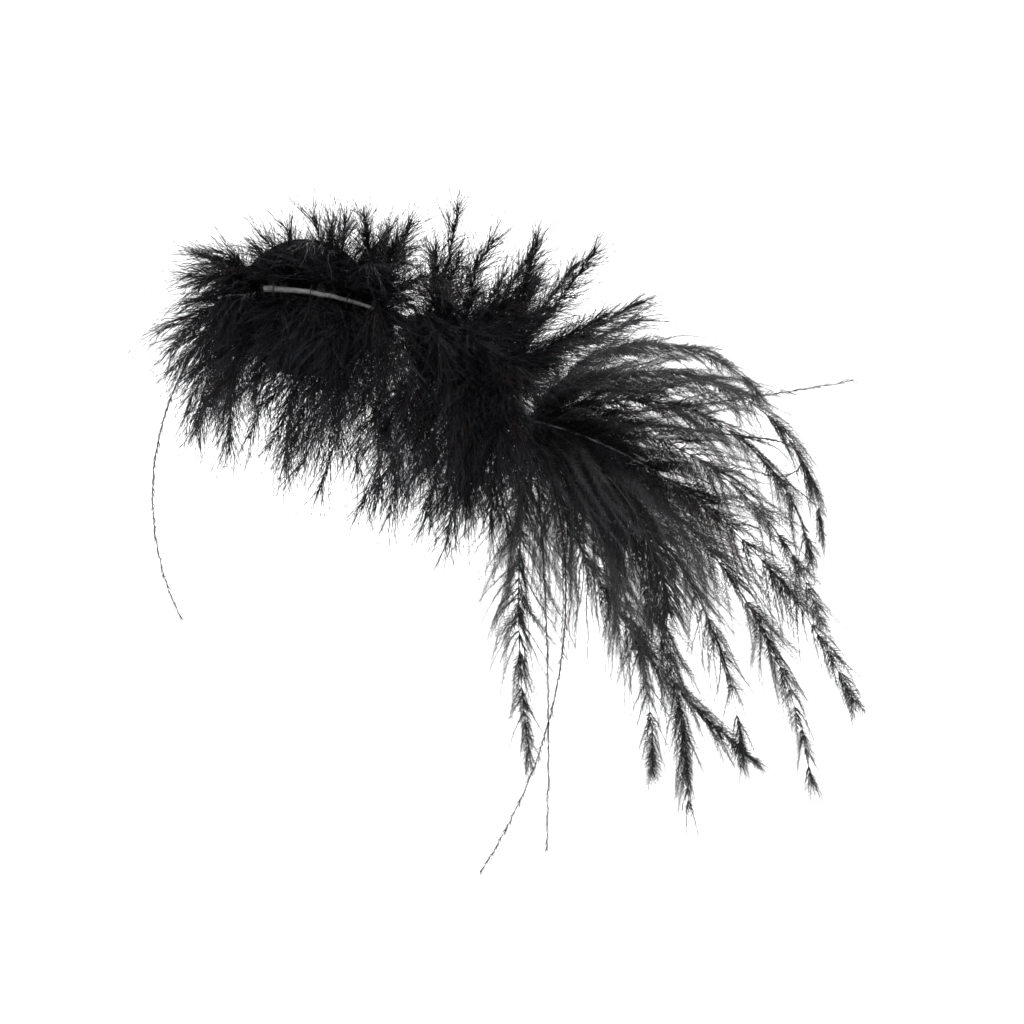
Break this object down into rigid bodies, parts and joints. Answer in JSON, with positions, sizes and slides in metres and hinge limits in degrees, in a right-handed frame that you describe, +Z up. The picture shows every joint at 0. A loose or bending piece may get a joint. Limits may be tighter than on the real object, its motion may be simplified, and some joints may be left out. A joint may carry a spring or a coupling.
{
  "type": "feather boa spray",
  "caption": "Arched spray of marabou and ostrich plumes bound round a wired cord on a round felt base, made to be sewn or pinned to a costume.",
  "frame": {"origin": "centre of the round felt base's back face", "axes": "+X from the base towards the ostrich plumes, +Y out of the base's back face, +Z up as the spray is worn"},
  "size_m": [0.3588, 0.2865, 0.3362],
  "materials": {
    "felt": "matt wool felt, black",
    "thread": "waxed cotton thread, black",
    "cord": "twisted cotton cord, black",
    "wire": "drawn spring wire",
    "buckram": "stiff open-weave strip, black",
    "bare_quill": "dyed feather shaft, dark grey, slightly glossy",
    "marabou": "downy plume, black with grey tips",
    "ostrich_plume": "ostrich plume, black with silky flues",
    "herl": "single ostrich flue, black to dark brown"
  },
  "bodies": {
    "base_half": {"base_back_felt": "felt", "base_front_felt": "felt", "base_stitches": "thread", "core_cord": "cord", "core_wire": "wire", "couching_stitches": "thread", "end_whipping": "thread", "binding_thread_fixed": "thread", "stripped_quill": "bare_quill", "tail_herl": "herl", "marabou_plume_01": "marabou", "marabou_plume_02": "marabou", "marabou_plume_03": "marabou", "marabou_plume_04": "marabou", "marabou_plume_05": "marabou", "marabou_plume_06": "marabou", "marabou_plume_07": "marabou", "marabou_plume_08": "marabou", "marabou_plume_09": "marabou", "marabou_plume_10": "marabou", "marabou_plume_11": "marabou", "marabou_plume_12": "marabou", "marabou_plume_13": "marabou", "marabou_plume_14": "marabou", "marabou_plume_15": "marabou"},
    "free_half": {"binding_thread_free": "thread", "plume_strip": "buckram", "plume_lashing": "thread", "plume_butts": "bare_quill", "plume_seizing": "thread", "marabou_plume_16": "marabou", "marabou_plume_17": "marabou", "marabou_plume_18": "marabou", "marabou_plume_19": "marabou", "marabou_plume_20": "marabou", "marabou_plume_21": "marabou", "marabou_plume_22": "marabou", "marabou_plume_23": "marabou", "marabou_plume_24": "marabou", "marabou_plume_25": "marabou", "marabou_plume_26": "marabou", "marabou_plume_27": "marabou", "marabou_plume_28": "marabou", "marabou_plume_29": "marabou", "marabou_plume_30": "marabou"},
    "ostrich_plume_01": {"ostrich_plume_01": "ostrich_plume"},
    "ostrich_herl_02": {"ostrich_herl_02": "herl"},
    "ostrich_plume_03": {"ostrich_plume_03": "ostrich_plume"},
    "ostrich_plume_04": {"ostrich_plume_04": "ostrich_plume"},
    "ostrich_plume_05": {"ostrich_plume_05": "ostrich_plume"},
    "ostrich_plume_06": {"ostrich_plume_06": "ostrich_plume"},
    "ostrich_herl_07": {"ostrich_herl_07": "herl"},
    "ostrich_plume_08": {"ostrich_plume_08": "ostrich_plume"},
    "ostrich_herl_09": {"ostrich_herl_09": "herl"},
    "ostrich_plume_10": {"ostrich_plume_10": "ostrich_plume"},
    "ostrich_plume_11": {"ostrich_plume_11": "ostrich_plume"},
    "ostrich_plume_12": {"ostrich_plume_12": "ostrich_plume"},
    "ostrich_plume_13": {"ostrich_plume_13": "ostrich_plume"},
    "ostrich_plume_14": {"ostrich_plume_14": "ostrich_plume"},
    "ostrich_plume_15": {"ostrich_plume_15": "ostrich_plume"}
  },
  "joints": [
    {"name": "core_bend", "type": "hinge", "parent": "base_half", "child": "free_half", "pos_m": [0.04344, -0.0088, -0.00519], "axis": [0, 1, 0], "range_deg": [-12, 12], "deforming": ["core_cord", "core_wire"]},
    {"name": "ostrich_plume_01_sway", "type": "hinge", "parent": "free_half", "child": "ostrich_plume_01", "pos_m": [0.11159, -0.0214, -0.05462], "axis": [0, 1, 0], "range_deg": [-10, 10], "stiffness_Nm_per_rad": 0.05},
    {"name": "ostrich_herl_02_sway", "type": "hinge", "parent": "free_half", "child": "ostrich_herl_02", "pos_m": [0.11159, -0.0196, -0.05462], "axis": [0, 1, 0], "range_deg": [-10, 10], "stiffness_Nm_per_rad": 0.004},
    {"name": "ostrich_plume_03_sway", "type": "hinge", "parent": "free_half", "child": "ostrich_plume_03", "pos_m": [0.11159, -0.0178, -0.05462], "axis": [0, 1, 0], "range_deg": [-10, 10], "stiffness_Nm_per_rad": 0.05},
    {"name": "ostrich_plume_04_sway", "type": "hinge", "parent": "free_half", "child": "ostrich_plume_04", "pos_m": [0.11159, -0.016, -0.05462], "axis": [0, 1, 0], "range_deg": [-10, 10], "stiffness_Nm_per_rad": 0.05},
    {"name": "ostrich_plume_05_sway", "type": "hinge", "parent": "free_half", "child": "ostrich_plume_05", "pos_m": [0.11159, -0.0142, -0.05462], "axis": [0, 1, 0], "range_deg": [-10, 10], "stiffness_Nm_per_rad": 0.05},
    {"name": "ostrich_plume_06_sway", "type": "hinge", "parent": "free_half", "child": "ostrich_plume_06", "pos_m": [0.11159, -0.0124, -0.05462], "axis": [0, 1, 0], "range_deg": [-10, 10], "stiffness_Nm_per_rad": 0.05},
    {"name": "ostrich_herl_07_sway", "type": "hinge", "parent": "free_half", "child": "ostrich_herl_07", "pos_m": [0.11159, -0.0106, -0.05462], "axis": [0, 1, 0], "range_deg": [-10, 10], "stiffness_Nm_per_rad": 0.004},
    {"name": "ostrich_plume_08_sway", "type": "hinge", "parent": "free_half", "child": "ostrich_plume_08", "pos_m": [0.11159, -0.0088, -0.05462], "axis": [0, 1, 0], "range_deg": [-10, 10], "stiffness_Nm_per_rad": 0.05},
    {"name": "ostrich_herl_09_sway", "type": "hinge", "parent": "free_half", "child": "ostrich_herl_09", "pos_m": [0.11159, -0.007, -0.05462], "axis": [0, 1, 0], "range_deg": [-10, 10], "stiffness_Nm_per_rad": 0.004},
    {"name": "ostrich_plume_10_sway", "type": "hinge", "parent": "free_half", "child": "ostrich_plume_10", "pos_m": [0.11159, -0.0052, -0.05462], "axis": [0, 1, 0], "range_deg": [-10, 10], "stiffness_Nm_per_rad": 0.05},
    {"name": "ostrich_plume_11_sway", "type": "hinge", "parent": "free_half", "child": "ostrich_plume_11", "pos_m": [0.11159, -0.0034, -0.05462], "axis": [0, 1, 0], "range_deg": [-10, 10], "stiffness_Nm_per_rad": 0.05},
    {"name": "ostrich_plume_12_sway", "type": "hinge", "parent": "free_half", "child": "ostrich_plume_12", "pos_m": [0.11159, -0.0016, -0.05462], "axis": [0, 1, 0], "range_deg": [-10, 10], "stiffness_Nm_per_rad": 0.05},
    {"name": "ostrich_plume_13_sway", "type": "hinge", "parent": "free_half", "child": "ostrich_plume_13", "pos_m": [0.11159, 0.0002, -0.05462], "axis": [0, 1, 0], "range_deg": [-10, 10], "stiffness_Nm_per_rad": 0.05},
    {"name": "ostrich_plume_14_sway", "type": "hinge", "parent": "free_half", "child": "ostrich_plume_14", "pos_m": [0.11159, 0.002, -0.05462], "axis": [0, 1, 0], "range_deg": [-10, 10], "stiffness_Nm_per_rad": 0.05},
    {"name": "ostrich_plume_15_sway", "type": "hinge", "parent": "free_half", "child": "ostrich_plume_15", "pos_m": [0.11159, 0.0038, -0.05462], "axis": [0, 1, 0], "range_deg": [-10, 10], "stiffness_Nm_per_rad": 0.05}
  ]
}
